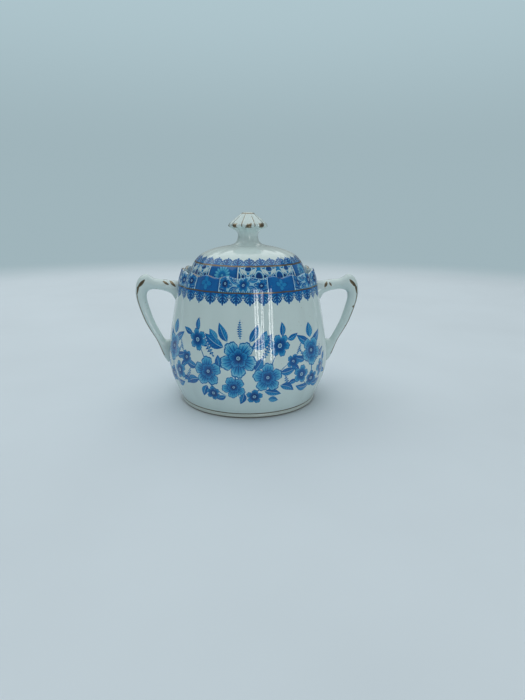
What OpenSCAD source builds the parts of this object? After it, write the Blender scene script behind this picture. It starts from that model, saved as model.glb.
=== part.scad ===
// Covered sugar bowl in glazed porcelain: a fluted bowl with a scalloped rim and
// two looped handles, and a domed lid with a lobed knob that drops into a ledge
// inside the rim.  Millimetres, +Z up, origin on the axis at the foot's resting plane.

/* [Bowl] */
// Radius of the foot ring
foot_r = 41.4; // [39:0.1:43]
// Height of the foot ring
foot_h = 2.4; // [1.6:0.1:4]
// Width of the foot ring's resting face
foot_w = 3.4; // [2:0.1:5]
// Radius at the widest point, over the crests of the flutes
belly_r = 48.5; // [46:0.1:52]
// Height of the widest point
belly_z = 26; // [22:0.5:32]
// Radius of the shoulder, where the printed band begins
shoulder_r = 41.5; // [40.5:0.1:43]
// Mean height of the scalloped rim
rim_z = 77.9; // [72:0.1:84]
// Height of the neck, from the shoulder up to the rim
neck_h = 7.7; // [7.5:0.1:10]
// How far the neck draws in from the shoulder to the rim
neck_in = 2.1; // [1:0.1:2.8]
// Wall of the body
wall = 3.2; // [2.4:0.1:4]
// Wall of the lip above the lid's ledge
lip = 2.3; // [1.8:0.1:2.8]
// Thickness of the floor
floor_t = 4; // [3:0.1:6]

/* [Flutes] */
// Number of flutes round the bowl and the lid
flutes = 20; // [16:4:28]
// Depth of the valleys between the flutes of the bowl
flute_depth = 0.7; // [0.2:0.05:1.1]
// Depth of the valleys between the flutes of the lid
lid_flute_depth = 0.45; // [0.1:0.05:0.7]
// Height by which the rim's scallops rise and fall about its mean
scallop = 0.8; // [0:0.1:1.6]

/* [Lid] */
// Depth of the ledge that carries the lid, below the rim
ledge_drop = 6.3; // [5:0.1:8]
// Width of that ledge
ledge_w = 3.8; // [3:0.1:5]
// Thickness of the ledge at its inner edge
ledge_t = 2.6; // [2:0.1:4]
// Radial play between the lid's edge and the lip
lid_play = 1.4; // [0.8:0.1:2]
// Height at which the lid's edge lies above its ledge
seat_gap = 0.1; // [0.05:0.05:0.3]
// Thickness of the lid's shell
lid_t = 3; // [2.4:0.1:3.6]
// Rise of the lid's crown above its edge
crown_rise = 20.2; // [18:0.1:23]
// Depth of the locating collar under the lid
collar_h = 5.5; // [3:0.1:8]
// Thickness of the locating collar
collar_t = 2.4; // [1.8:0.1:3]
// Radial play of the locating collar in the mouth
collar_play = 0.6; // [0.3:0.1:1]

/* [Knob] */
// Number of lobes of the knob
knob_lobes = 8; // [6:1:10]
// Radius of the knob over its lobes
knob_r = 11.5; // [10:0.1:13]
// Radius of the knob's neck
neck_r = 5.8; // [4.5:0.1:7]
// Height of the knob above the lid's crown
knob_h = 18.7; // [15:0.1:22]
// Radius of the knob's base on the crown
knob_base_r = 9; // [8:0.1:10.5]
// Depth of the valleys between the lobes, as a share of the radius
lobe_depth = 0.15; // [0.04:0.01:0.18]

/* [Handles] */
// Reach of the handles from the axis
handle_reach = 66.8; // [64:0.1:71]
// Depth of the middle of a handle's upper arm, below the rim
arm_drop = 9.2; // [8:0.1:12]
// Thickness of the handle, seen from the front
handle_t = 6.6; // [5:0.1:7.5]
// Breadth of the handle, seen from the end
handle_b = 7.2; // [5.5:0.1:9]
// Rise of the thumb rest above the upper arm
thumb_rise = 3.2; // [1:0.1:4.5]
// Length of the fillet under the upper arm, down the wall
arm_fillet = 6.2; // [3:0.1:8]
// Height of the middle of a handle's lower root
root_z = 27; // [25:0.5:31]

/* [Hidden] */

porcelain = [0.93, 0.95, 0.96];
pale_glaze = [0.86, 0.90, 0.92];

steps = 6;              // facets across one flute
cols = flutes * steps;  // facets round the bowl and the lid
shoulder_z = rim_z - neck_h;
rim_r = shoulder_r - neck_in;
ledge_z = rim_z - ledge_drop;
arm_z = rim_z - arm_drop;
lip_r = rim_r - lip;    // inside radius of the lip
lid_r = lip_r - lid_play;
mouth_r = lip_r - ledge_w;
seat_z = ledge_z + seat_gap;
crown_z = seat_z + crown_rise;
collar_r = mouth_r - collar_play;

// ---- curves ---------------------------------------------------------------

// Point at t on the cubic curve from a to d, pulled towards b and then c
function bezier(a, b, c, d, t) =
    let (s = 1 - t) a*s*s*s + 3*b*s*s*t + 3*c*s*t*t + d*t*t*t;

// n equal steps along that curve, without its last point
function curve(a, b, c, d, n) = [for (i = [0:n - 1]) bezier(a, b, c, d, i/n)];

function smooth(t) = let (u = max(0, min(1, t))) u*u*(3 - 2*u);

// Outer profile of the bowl over the flutes' crests, as [radius, height]
foot_point = [foot_r - 0.3, foot_h];
belly_point = [belly_r, belly_z];
shoulder_point = [shoulder_r, shoulder_z];
shoulder_lean = [0.15, -1];  // slope of the wall just under the shoulder
rim_point = [rim_r, rim_z - 1.2];
rise_low = belly_z - foot_h;
rise_high = shoulder_z - belly_z;

under_curve = [foot_point, foot_point + [0.42, 1]*rise_low*0.32,
               belly_point - [0, 0.34]*rise_low, belly_point];
side_curve = [belly_point, belly_point + [0, 0.24]*rise_high,
              shoulder_point + shoulder_lean*rise_high*0.32, shoulder_point];
neck_curve = [shoulder_point, shoulder_point - shoulder_lean*2.6,
              rim_point + [0.9, -2.4], rim_point];

function along(c, n) = curve(c[0], c[1], c[2], c[3], n);

// Radius of a bezier profile at height z, by halving
function radius_on(c, z, lo = 0, hi = 1, n = 18) =
    let (mid = (lo + hi)/2, p = bezier(c[0], c[1], c[2], c[3], mid))
    n == 0 ? p[0] : p[1] < z ? radius_on(c, z, mid, hi, n - 1) : radius_on(c, z, lo, mid, n - 1);

function bowl_radius(z) =
    z < belly_z ? radius_on(under_curve, max(z, foot_h))
    : z < shoulder_z ? radius_on(side_curve, z) : radius_on(neck_curve, z);

// ---- fluted solids ----------------------------------------------------------

// 1 on a crest and 0 in a valley, with n crests round the axis
function crest(n, a) = abs(cos(n*a/2));

// Triangles that join rings of n points each, closed at both ends by the last two points
function ring_faces(n, rows) = concat(
    [for (j = [0:rows - 2], i = [0:n - 1], k = [0, 1])
        let (a = j*n + i, b = j*n + (i + 1) % n)
        k == 0 ? [a, a + n, b] : [b, a + n, b + n]],
    [for (i = [0:n - 1]) [n*rows, i, (i + 1) % n]],
    [for (i = [0:n - 1]) [n*rows + 1, n*(rows - 1) + (i + 1) % n, n*(rows - 1) + i]]);

// Solid between rings: rows is a list of [radius, height, flute depth, scallop].  With arc,
// only the columns from -arc to arc, closed along the axis.
module fluted_solid(rows, n, count, arc = 0) {
    columns = arc > 0 ? [-arc:arc] : [0:count - 1];
    rings = [for (p = rows) concat(
        [for (i = columns)
            let (a = 360*i/count, r = p[0] - p[2]*(1 - crest(n, a)))
            [r*cos(a), r*sin(a), p[1] + p[3]*cos(n*a)]],
        arc > 0 ? [[0, 0, p[1]]] : [])];
    inside = arc > 0 ? 0.5 : 0;  // where the end caps meet, as a share of the radius
    ends = [for (p = [rows[0], rows[len(rows) - 1]]) [p[0]*inside, 0, p[1]]];
    polyhedron(concat([for (ring = rings, p = ring) p], ends),
               ring_faces(len(rings[0]), len(rows)), convexity = 4);
}

// ---- bowl -----------------------------------------------------------------

function bowl_flute(z) = flute_depth*smooth((z - foot_h)/12);

bowl_rows = concat(
    [for (p = concat(along(under_curve, 7), along(side_curve, 9)))
        [p[0], p[1], bowl_flute(p[1]), 0]],
    [for (p = along(neck_curve, 4))
        [p[0], p[1], flute_depth, scallop*smooth((p[1] - shoulder_z)/(rim_z - shoulder_z))]],
    [[rim_r, rim_z - 1.2, flute_depth, scallop],
     [rim_r - 0.25, rim_z - 0.4, flute_depth, scallop],
     [rim_r - 0.8, rim_z, flute_depth, scallop],
     [rim_r - 2, rim_z - 0.1, flute_depth*0.6, scallop]]);

// Fluted outside of the bowl, solid to the axis
module bowl_blank() {
    fluted_solid(bowl_rows, flutes, cols);
}

// Bore of the lip above the lid's ledge, fluted as the outside is
module lip_bore() {
    top = rim_z + scallop + 1;
    fluted_solid([[lip_r, ledge_z, flute_depth*0.6, 0], [lip_r, top, flute_depth*0.8, 0]],
                 flutes, cols);
}

// Mouth, the inside of the body and the floor
module bowl_cavity() {
    under_ledge = ledge_z - ledge_t;
    inner_shoulder = shoulder_r - wall;
    floor_z = foot_h + floor_t;
    rotate_extrude($fn = 200)
        polygon(concat(
            [[0, ledge_z + 1], [mouth_r, ledge_z + 1], [mouth_r, under_ledge]],
            along([[inner_shoulder - 0.6, under_ledge - 4], [belly_r - wall - 2.4, shoulder_z*0.72],
                   [belly_r - wall, belly_z + 14], [belly_r - wall, belly_z]], 6),
            along([[belly_r - wall, belly_z], [belly_r - wall, belly_z - 12],
                   [foot_r - 4, floor_z + 1], [foot_r - 12, floor_z]], 6),
            [[foot_r - 12, floor_z], [0, floor_z]]));
}

module foot_ring() {
    rotate_extrude($fn = 200)
        polygon([[foot_r - foot_w, 0.3], [foot_r - foot_w + 0.5, 0], [foot_r - 0.5, 0],
                 [foot_r, 0.5], [foot_r, foot_h - 0.5], [foot_r - 0.4, foot_h],
                 [foot_r - foot_w - 2, foot_h + 1.4], [foot_r - foot_w - 0.6, foot_h - 0.4]]);
}

module bowl() {
    color(porcelain) {
        difference() {
            union() {
                bowl_blank();
                foot_ring();
            }
            lip_bore();
            bowl_cavity();
        }
    }
}

// ---- handles ----------------------------------------------------------------

// Stations down the handle: [inner point, outer point, breadth], points as [x, z]
half_t = handle_t/2;
arm_low = arm_z - half_t;
arm_top = arm_z + half_t;
arm_wall = bowl_radius(arm_z);
fillet_wall = bowl_radius(arm_low - arm_fillet);
root_wall = bowl_radius(root_z);
elbow_x = handle_reach - handle_t;   // inner side of the elbow
handle_stations = [
    [[fillet_wall - 3, arm_low - arm_fillet - 2.6], [arm_wall - 3.6, arm_top - 0.8], handle_b*1.3],
    [[fillet_wall + 0.1, arm_low - arm_fillet*0.95], [arm_wall, arm_top - 0.8], handle_b*1.16],
    [[arm_wall + 3.6, arm_low - arm_fillet*0.36], [arm_wall + 4, arm_top - 0.7], handle_b*1.04],
    [[arm_wall + 8, arm_low - 0.3], [arm_wall + 8, arm_top - 0.1], handle_b],
    [[elbow_x - 5.6, arm_low + 0.5], [elbow_x - 5.6, arm_top + 0.2], handle_b],
    [[elbow_x - 3.4, arm_low + 0.4], [elbow_x - 2.9, arm_top + thumb_rise*0.5], handle_b*1.06],
    [[elbow_x - 1.6, arm_low - 0.2], [elbow_x + 0.2, arm_top + thumb_rise], handle_b*1.12],
    [[elbow_x - 0.4, arm_low - 1.6], [handle_reach - 1.9, arm_top + 0.2], handle_b*1.1],
    [[elbow_x, arm_low - 4.6], [handle_reach, arm_z - 3.8], handle_b],
    [[elbow_x - 0.8, arm_z - 12], [handle_reach - 1.1, arm_z - 11.6], handle_b*0.94],
    [[elbow_x - 3.8, arm_z - 22], [handle_reach - 5.2, arm_z - 23.4], handle_b*0.88],
    [[elbow_x - 8, arm_z - 30.6], [handle_reach - 10.8, arm_z - 33], handle_b*0.86],
    [[root_wall + 1.6, root_z + 7.9], [root_wall + 4.9, root_z + 2.4], handle_b*0.9],
    [[root_wall - 1.2, root_z + 8.4], [root_wall + 3, root_z - 3], handle_b],
    [[root_wall - 3.6, root_z + 6], [root_wall + 0.2, root_z - 8.4], handle_b*0.9]];

// Smooth curve through a list of stations, with t counted in stations
function blend(p, t) =
    let (n = len(p) - 1, i = min(floor(t), n - 1), u = t - i,
         a = p[max(i - 1, 0)], b = p[i], c = p[i + 1], d = p[min(i + 2, n)])
    0.5*(2*b + (c - a)*u + (2*a - 5*b + 4*c - d)*u*u + (3*b - a - 3*c + d)*u*u*u);

section_n = 32;    // sections along the handle
inner_line = [for (s = handle_stations) s[0]];
outer_line = [for (s = handle_stations) s[1]];
breadths = [for (s = handle_stations) s[2]];

// Half of the outline across the handle, from its outer to its inner edge,
// with a soft ridge along the face; both numbers are shares of the half size
ridge_half = [[1, 0], [0.92, 0.36], [0.7, 0.64], [0.4, 0.85], [0.04, 1],
              [-0.32, 0.9], [-0.68, 0.7], [-0.93, 0.4], [-1, 0]];
across = concat(ridge_half,
                [for (i = [len(ridge_half) - 2:-1:1]) [ridge_half[i][0], -ridge_half[i][1]]]);
side_count = len(across);   // points round a section

// One section of the handle
function handle_section(t) =
    let (a = blend(inner_line, t), b = blend(outer_line, t), w = blend(breadths, t)/2,
         mid = (a + b)/2, half = (b - a)/2)
    [for (p = across) [mid[0] + half[0]*p[0], -w*p[1], mid[1] + half[1]*p[0]]];

module handle_blank() {
    span = len(handle_stations) - 1;
    sections = [for (k = [0:section_n]) handle_section(span*k/section_n)];
    ends = [for (s = [sections[0], sections[section_n]]) (s[0] + s[side_count/2])/2];
    polyhedron(concat([for (s = sections, p = s) p], ends),
               ring_faces(side_count, section_n + 1), convexity = 6);
}

// Right-hand handle, cut to the fluted wall that it is fixed to
module handle() {
    difference() {
        handle_blank();
        fluted_solid(bowl_rows, flutes, cols, steps);
    }
}

module handle_right() {
    color(pale_glaze) handle();
}

module handle_left() {
    color(pale_glaze) rotate([0, 0, 180]) handle();
}

// ---- lid --------------------------------------------------------------------

// Outer profile of the lid from its edge to the pad under the knob
shoulder_rise = crown_rise*0.8;      // height of the lid's own shoulder above its edge
lid_side = [[lid_r, seat_z + 1], [lid_r - 1.6, seat_z + shoulder_rise*0.42],
            [lid_r - 4.2, seat_z + shoulder_rise*0.82], [lid_r - 10.4, seat_z + shoulder_rise]];
lid_top = [[lid_r - 10.4, seat_z + shoulder_rise], [lid_r - 15, seat_z + shoulder_rise*1.14],
           [knob_base_r + 5, crown_z - 0.7], [knob_base_r, crown_z]];

function lid_flute(r) = lid_flute_depth*smooth((r - knob_base_r - 1)/12);

module lid_blank() {
    fluted_solid(concat(
        [[lid_r - 0.8, seat_z, lid_flute_depth, 0]],
        [for (p = concat(along(lid_side, 7), along(lid_top, 4)))
            [p[0], p[1], lid_flute(p[0]), 0]],
        [[knob_base_r, crown_z, 0, 0]]), flutes, cols);
}

module lid_hollow() {
    rotate_extrude($fn = 200)
        polygon(concat(
            [[0, seat_z - 1], [collar_r - collar_t, seat_z - 1], [collar_r - collar_t, seat_z + 3]],
            along([[collar_r - collar_t, seat_z + 3], [lid_r - lid_t - 3, seat_z + shoulder_rise*0.62],
                   [lid_r - lid_t - 6.4, seat_z + shoulder_rise - lid_t],
                   [lid_r - 14, seat_z + shoulder_rise - lid_t]], 6),
            [[lid_r - 14, seat_z + shoulder_rise - lid_t], [knob_base_r, crown_z - lid_t],
             [0, crown_z - lid_t]]));
}

// Ring under the lid that keeps it centred in the mouth
module locating_collar() {
    rotate_extrude($fn = 200)
        polygon([[collar_r - collar_t, seat_z + 1], [collar_r - collar_t, seat_z - collar_h + 0.6],
                 [collar_r - collar_t + 0.6, seat_z - collar_h], [collar_r - 0.8, seat_z - collar_h],
                 [collar_r, seat_z - collar_h + 1], [collar_r, seat_z + 1]]);
}

module lid() {
    color(porcelain)
        union() {
            difference() {
                lid_blank();
                lid_hollow();
            }
            locating_collar();
        }
}

// ---- knob -------------------------------------------------------------------

// [radius, height as a share, lobe depth as a share, rise of the valleys]
knob_rows = [
    [knob_base_r, 0, 0, 0], [neck_r + 1.6, 0.07, 0.1, 0], [neck_r + 0.45, 0.15, 0.25, 0],
    [neck_r, 0.26, 0.35, 0], [neck_r + 0.15, 0.36, 0.35, 0],
    [neck_r + 1.2, 0.45, 0.4, 0.2], [knob_r*0.8, 0.515, 0.8, 0.4],
    [knob_r*0.96, 0.555, 1, 0.4], [knob_r, 0.6, 1, 0.4], [knob_r*0.97, 0.65, 1, 0.3],
    [knob_r*0.8, 0.74, 1, 0.1], [knob_r*0.57, 0.845, 1, 0], [knob_r*0.4, 0.925, 0.8, 0],
    [knob_r*0.28, 0.98, 0.5, 0], [knob_r*0.22, 0.998, 0.3, 0], [knob_r*0.12, 1, 0.2, 0]];

module lid_knob() {
    color(pale_glaze)
        fluted_solid([for (p = knob_rows)
                         [p[0], crown_z + knob_h*p[1], p[0]*lobe_depth*p[2], -p[3]]],
                     knob_lobes, knob_lobes*6);
}

// ---- parts --------------------------------------------------------------------

bowl();
handle_left();
handle_right();
lid();
lid_knob();
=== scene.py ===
"""Looks of a covered sugar bowl in fluted porcelain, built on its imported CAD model."""
from math import atan2, cos, hypot, pi, radians, sin, tau

import bmesh
import bpy
from bpy.props import FloatProperty, FloatVectorProperty, IntProperty, PointerProperty
from mathutils import Matrix, Vector


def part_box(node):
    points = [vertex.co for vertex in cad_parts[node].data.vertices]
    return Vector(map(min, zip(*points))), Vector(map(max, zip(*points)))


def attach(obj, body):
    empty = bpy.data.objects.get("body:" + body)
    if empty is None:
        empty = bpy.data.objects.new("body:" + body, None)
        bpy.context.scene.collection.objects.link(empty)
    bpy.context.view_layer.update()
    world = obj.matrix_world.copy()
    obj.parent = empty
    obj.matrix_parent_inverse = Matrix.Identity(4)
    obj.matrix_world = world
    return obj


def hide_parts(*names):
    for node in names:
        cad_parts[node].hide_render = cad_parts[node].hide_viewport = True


bl_info = {
    "name": "Covered sugar bowl",
    "version": (1, 0, 0),
    "blender": (4, 5, 0),
    "location": "View3D > Sidebar > Sugar Bowl",
    "description": "Builds a fluted porcelain sugar bowl with its lid, print and gilding",
    "category": "Object",
}

MM = 0.001
TO_MM = 1000  # the prints are laid out in millimetres
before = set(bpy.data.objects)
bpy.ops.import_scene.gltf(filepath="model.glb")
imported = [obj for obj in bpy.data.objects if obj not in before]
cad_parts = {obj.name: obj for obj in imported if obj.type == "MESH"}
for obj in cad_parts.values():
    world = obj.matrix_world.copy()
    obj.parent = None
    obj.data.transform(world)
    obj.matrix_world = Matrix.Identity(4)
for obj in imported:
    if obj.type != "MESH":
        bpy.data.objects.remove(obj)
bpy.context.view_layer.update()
BOWL_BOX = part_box("bowl")
LID_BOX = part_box("lid")
KNOB_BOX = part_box("lid_knob")
SCALLOP = 0.8 * MM
RIM_HEIGHT = BOWL_BOX[1].z - SCALLOP
START_RADIUS = 10 * MM  # of each circle before it is shaped
SMOOTH_ANGLE = 45


# ---- sizes and colours --------------------------------------------------------


def length(name, description, default):
    return FloatProperty(name=name, description=description, default=default, min=0,
                         unit="LENGTH", precision=4)


def colour(name, description, default):
    return FloatVectorProperty(name=name, description=description, default=default,
                               subtype="COLOR", size=3, min=0, max=1)


class BowlSizes(bpy.types.PropertyGroup):
    flutes: IntProperty(name="Flutes", description="Flutes round the bowl and the lid",
                        default=20, min=8)
    flute_depth: length("Flute depth", "Depth of the valleys between the flutes", 0.7 * MM)
    scallop: length("Scallop", "Rise and fall of the rim about its mean", SCALLOP)
    belly_radius: length("Belly radius", "Radius at the widest point", BOWL_BOX[1].x)
    belly_height: length("Belly height", "Height of the widest point", 26 * MM)
    foot_radius: length("Foot radius", "Radius of the foot ring", 41.4 * MM)
    foot_height: length("Foot height", "Height of the foot ring", 2.4 * MM)
    foot_width: length("Foot width", "Width of the foot ring's resting face", 3.4 * MM)
    shoulder_radius: length("Shoulder radius", "Radius under the printed band", 41.5 * MM)
    rim_height: length("Rim height", "Mean height of the rim", RIM_HEIGHT)
    neck_height: length("Neck height", "Height from the shoulder to the rim", 7.7 * MM)
    neck_draw: length("Neck draw", "How far the neck draws in to the rim", 2.1 * MM)
    lip: length("Lip", "Wall of the lip above the ledge", 2.3 * MM)
    ledge_drop: length("Ledge drop", "Depth of the lid's ledge below the rim", 6.3 * MM)
    ledge_width: length("Ledge width", "Width of the lid's ledge", 3.8 * MM)
    ledge_thickness: length("Ledge thickness", "Thickness of the ledge", 2.6 * MM)
    wall: length("Wall", "Wall of the body", 3.2 * MM)
    floor: length("Floor", "Thickness of the floor", 4 * MM)


class LidSizes(bpy.types.PropertyGroup):
    edge_radius: length("Edge radius", "Radius of the lid's edge", LID_BOX[1].x)
    crown_height: length("Crown height", "Height of the crown", LID_BOX[1].z)
    crown_rise: length("Crown rise", "Rise of the crown above the lid's edge", 20.2 * MM)
    flute_depth: length("Flute depth", "Depth of the valleys on the lid", 0.45 * MM)
    shell: length("Shell", "Thickness of the lid's shell", 3 * MM)
    collar_depth: length("Collar depth", "Depth of the locating collar", 5.5 * MM)
    collar_wall: length("Collar wall", "Thickness of the locating collar", 2.4 * MM)
    collar_radius: length("Collar radius", "Outside of the locating collar", 32.7 * MM)
    knob_base: length("Knob base", "Radius of the knob's base", 9 * MM)
    knob_lobes: IntProperty(name="Knob lobes", description="Lobes of the knob", default=8)
    knob_radius: length("Knob radius", "Radius of the knob over its lobes", KNOB_BOX[1].x)
    knob_neck: length("Knob neck", "Radius of the knob's neck", 5.8 * MM)
    knob_height: length("Knob height", "Height of the knob above the crown",
                        KNOB_BOX[1].z - KNOB_BOX[0].z)
    lobe_depth: FloatProperty(name="Lobe depth", default=0.15, min=0, max=0.3,
                              description="Depth between the lobes, as a share of the radius")


class HandleSizes(bpy.types.PropertyGroup):
    reach: length("Reach", "Reach of the handles from the axis", 66.8 * MM)
    thickness: length("Thickness", "Thickness seen from the front", 6.6 * MM)
    breadth: length("Breadth", "Breadth seen from the end", 7.2 * MM)
    thumb_rise: length("Thumb rise", "Rise of the thumb rest", 3.2 * MM)
    arm_drop: length("Arm drop", "Depth of the upper arm below the rim", 9.2 * MM)
    arm_fillet: length("Arm fillet", "Length of the fillet under the upper arm", 6.2 * MM)
    root_height: length("Root height", "Height of the lower root", 27 * MM)


# ---- curves ---------------------------------------------------------------------


def bezier(points, t):
    a, b, c, d = points
    s = 1 - t
    return a * s ** 3 + b * 3 * s * s * t + c * 3 * s * t * t + d * t ** 3


def along(points, count):
    """Equal steps along a cubic curve, without its last point."""
    return [bezier(points, i / count) for i in range(count)]


def catmull(points, t):
    """Smooth curve through a list of points, with t counted in points."""
    last = len(points) - 1
    i = min(int(t), last - 1)
    u = t - i
    a, b, c, d = (points[min(max(i + k, 0), last)] for k in (-1, 0, 1, 2))
    return 0.5 * (2 * b + (c - a) * u + (2 * a - 5 * b + 4 * c - d) * u * u
                  + (3 * b - a - 3 * c + d) * u ** 3)


def smooth(t):
    u = max(0.0, min(1.0, t))
    return u * u * (3 - 2 * u)


def point(radius, height):
    return Vector((radius, height))


# ---- modelling ------------------------------------------------------------------


def deselect():
    if bpy.context.object and bpy.context.object.mode != "OBJECT":
        bpy.ops.object.mode_set(mode="OBJECT")
    bpy.ops.object.select_all(action="DESELECT")


def select(mesh, vertices):
    """Select just these vertices of the mesh being edited."""
    for v in mesh.verts:
        v.select = False
    for v in vertices:
        v.select = True
    mesh.select_flush_mode()


def start_ring(name, count):
    """A circle of points round the axis, open for editing."""
    deselect()
    bpy.ops.mesh.primitive_circle_add(vertices=count, radius=START_RADIUS)
    piece = bpy.context.object
    piece.name = piece.data.name = name
    bpy.ops.object.mode_set(mode="EDIT")
    return piece


def shape_row(piece, lobes, radius, height, depth, rise):
    """Bring the selected row to its radius and height, one pair of points that stand
    alike on the lobe at a time, so that it follows the lobe and the scallop."""
    mesh = bmesh.from_edit_mesh(piece.data)
    row = [v for v in mesh.verts if v.select]
    groups = {}
    for v in row:
        groups.setdefault(round(cos(lobes * atan2(v.co.y, v.co.x)), 4), []).append(v)
    for wave, members in groups.items():
        want = radius - depth * (1 - ((1 + wave) / 2) ** 0.5)
        ratio = want / hypot(members[0].co.x, members[0].co.y)
        lift = height + rise * wave - members[0].co.z
        select(mesh, members)
        bpy.ops.transform.resize(value=(ratio, ratio, 1), center_override=(0, 0, 0))
        bpy.ops.transform.translate(value=(0, 0, lift))
    select(mesh, row)


def turned(name, lobes, per_lobe, rows):
    """A closed piece of round lobes. One lobe is extruded row by row of (radius, height,
    depth, rise), then spun round the axis and joined, and its two ends are filled in."""
    piece = start_ring(name, lobes * per_lobe)
    mesh = bmesh.from_edit_mesh(piece.data)
    lobe_end = (1 + 0.1 / per_lobe) * pi / lobes
    select(mesh, [v for v in mesh.verts if abs(atan2(v.co.y, v.co.x)) > lobe_end])
    bpy.ops.mesh.delete(type="VERT")
    bpy.ops.mesh.select_all(action="SELECT")
    shape_row(piece, lobes, *rows[0])
    for row in rows[1:]:
        bpy.ops.mesh.extrude_region_move()
        shape_row(piece, lobes, *row)
    bpy.ops.mesh.select_all(action="SELECT")
    bpy.ops.mesh.spin(steps=lobes - 1, dupli=True, angle=tau * (lobes - 1) / lobes,
                      center=(0, 0, 0), axis=(0, 0, 1))
    bpy.ops.mesh.select_all(action="SELECT")
    bpy.ops.mesh.remove_doubles(threshold=2e-6)
    for end in (rows[0], rows[-1]):
        select(mesh, [v for v in mesh.verts if v.is_boundary
                      and abs(hypot(v.co.x, v.co.y) - end[0]) < 0.5 * MM
                      and abs(v.co.z - end[1]) < 0.1 * MM])
        bpy.ops.mesh.fill_grid()
    bpy.ops.mesh.select_all(action="SELECT")
    bpy.ops.mesh.normals_make_consistent(inside=False)
    bpy.ops.object.mode_set(mode="OBJECT")
    return piece


def rounded(piece, levels=1):
    """Round a piece off with a subdivision surface and shade it smooth."""
    bpy.ops.object.modifier_add(type="SUBSURF")
    rounding = piece.modifiers[-1]
    rounding.levels = rounding.render_levels = levels
    bpy.ops.object.modifier_apply(modifier=rounding.name)
    bpy.ops.object.shade_smooth_by_angle(angle=radians(SMOOTH_ANGLE))
    return piece


# ---- bowl -----------------------------------------------------------------------


def bowl_curves(s):
    """The bowl over its crests: from the foot to the belly, up its side, and the neck."""
    foot = point(s.foot_radius - 0.3 * MM, s.foot_height)
    belly = point(s.belly_radius, s.belly_height)
    shoulder = point(s.shoulder_radius, s.rim_height - s.neck_height)
    rim = point(s.shoulder_radius - s.neck_draw, s.rim_height - 1.2 * MM)
    low, high = belly.y - foot.y, shoulder.y - belly.y
    lean = Vector((0.15, -1))
    return ((foot, foot + Vector((0.42, 1)) * low * 0.32, belly - Vector((0, 0.34)) * low, belly),
            (belly, belly + Vector((0, 0.24)) * high, shoulder + lean * high * 0.32, shoulder),
            (shoulder, shoulder - lean * 2.6 * MM, rim + Vector((0.9, -2.4)) * MM, rim))


def bowl_radius(s, height):
    """Radius of the bowl over its crests at a height, found by halving."""
    under, side, neck = bowl_curves(s)
    line = under if height < s.belly_height else side if height < side[3].y else neck
    low, high = 0.0, 1.0
    for _ in range(24):
        middle = (low + high) / 2
        if bezier(line, middle).y < height:
            low = middle
        else:
            high = middle
    return bezier(line, low).x


def bowl_rows(s):
    """The section of the bowl, from the middle of its underside round the rim to its floor."""
    under, side, neck = bowl_curves(s)
    rim, top = s.shoulder_radius - s.neck_draw, s.rim_height
    bore, ledge = rim - s.lip, top - s.ledge_drop
    mouth, below = bore - s.ledge_width, ledge - s.ledge_thickness
    floor, recess = s.foot_height + s.floor, s.foot_height + 0.3 * MM
    inside, inner = s.foot_radius - s.foot_width, s.belly_radius - s.wall
    waist = s.shoulder_radius - s.wall

    rows = [(r, z, 0, 0) for r, z in (
        (2 * MM, recess), (inside - 6 * MM, recess), (inside - 1.4 * MM, recess),
        (inside - 0.5 * MM, recess - 0.4 * MM), (inside, recess - 1.2 * MM),
        (inside + 0.1 * MM, 0.4 * MM), (inside + 0.6 * MM, 0), (s.foot_radius - 0.6 * MM, 0),
        (s.foot_radius - 0.1 * MM, 0.4 * MM), (s.foot_radius - 0.05 * MM, s.foot_height * 0.5),
        (s.foot_radius - 0.15 * MM, s.foot_height - 0.35 * MM),
        (s.foot_radius - 0.45 * MM, s.foot_height))]
    for p in along(under, 10)[1:] + along(side, 12):
        rows.append((p.x, p.y, s.flute_depth * smooth((p.y - s.foot_height) / (12 * MM)), 0))
    for p in along(neck, 5):
        lift = smooth((p.y - neck[0].y) / (top - neck[0].y))
        rows.append((p.x, p.y, s.flute_depth, s.scallop * lift))
    full = s.scallop - 0.1 * MM
    rows += [(rim, top - 1.2 * MM, s.flute_depth, full),
             (rim - 0.25 * MM, top - 0.4 * MM, s.flute_depth, full),
             (rim - 0.8 * MM, top, s.flute_depth, full),
             (rim - 1.5 * MM, top, s.flute_depth * 0.9, full),
             (bore + 0.2 * MM, top - 0.4 * MM, s.flute_depth * 0.8, full),
             (bore, top - 1.2 * MM, s.flute_depth * 0.8, full),
             (bore, (top + ledge) / 2, s.flute_depth * 0.7, full * 0.4),
             (bore, ledge + 0.8 * MM, s.flute_depth * 0.6, 0),
             (bore - 0.4 * MM, ledge - 0.02 * MM, s.flute_depth * 0.6, 0),
             (mouth + 0.8 * MM, ledge - 0.02 * MM, 0, 0),
             (mouth + 0.1 * MM, ledge - 0.3 * MM, 0, 0),
             (mouth, ledge - 0.8 * MM, 0, 0), (mouth, below + 0.8 * MM, 0, 0),
             (mouth + 0.5 * MM, below + 0.1 * MM, 0, 0),
             (waist - 2.2 * MM, below - 0.6 * MM, 0, 0)]
    hollow = (along((point(waist - 0.6 * MM, below - 4 * MM),
                     point(inner - 2.4 * MM, below - 18.5 * MM),
                     point(inner, s.belly_height + 14 * MM), point(inner, s.belly_height)), 7)
              + along((point(inner, s.belly_height), point(inner, s.belly_height - 12 * MM),
                       point(s.foot_radius - 4 * MM, floor + MM),
                       point(s.foot_radius - 12 * MM, floor)), 7))
    rows += [(p.x, p.y, 0, 0) for p in hollow]
    rows += [(s.foot_radius - 12 * MM, floor, 0, 0), (14 * MM, floor, 0, 0),
             (2 * MM, floor, 0, 0)]
    return rows


# ---- lid ------------------------------------------------------------------------


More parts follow.
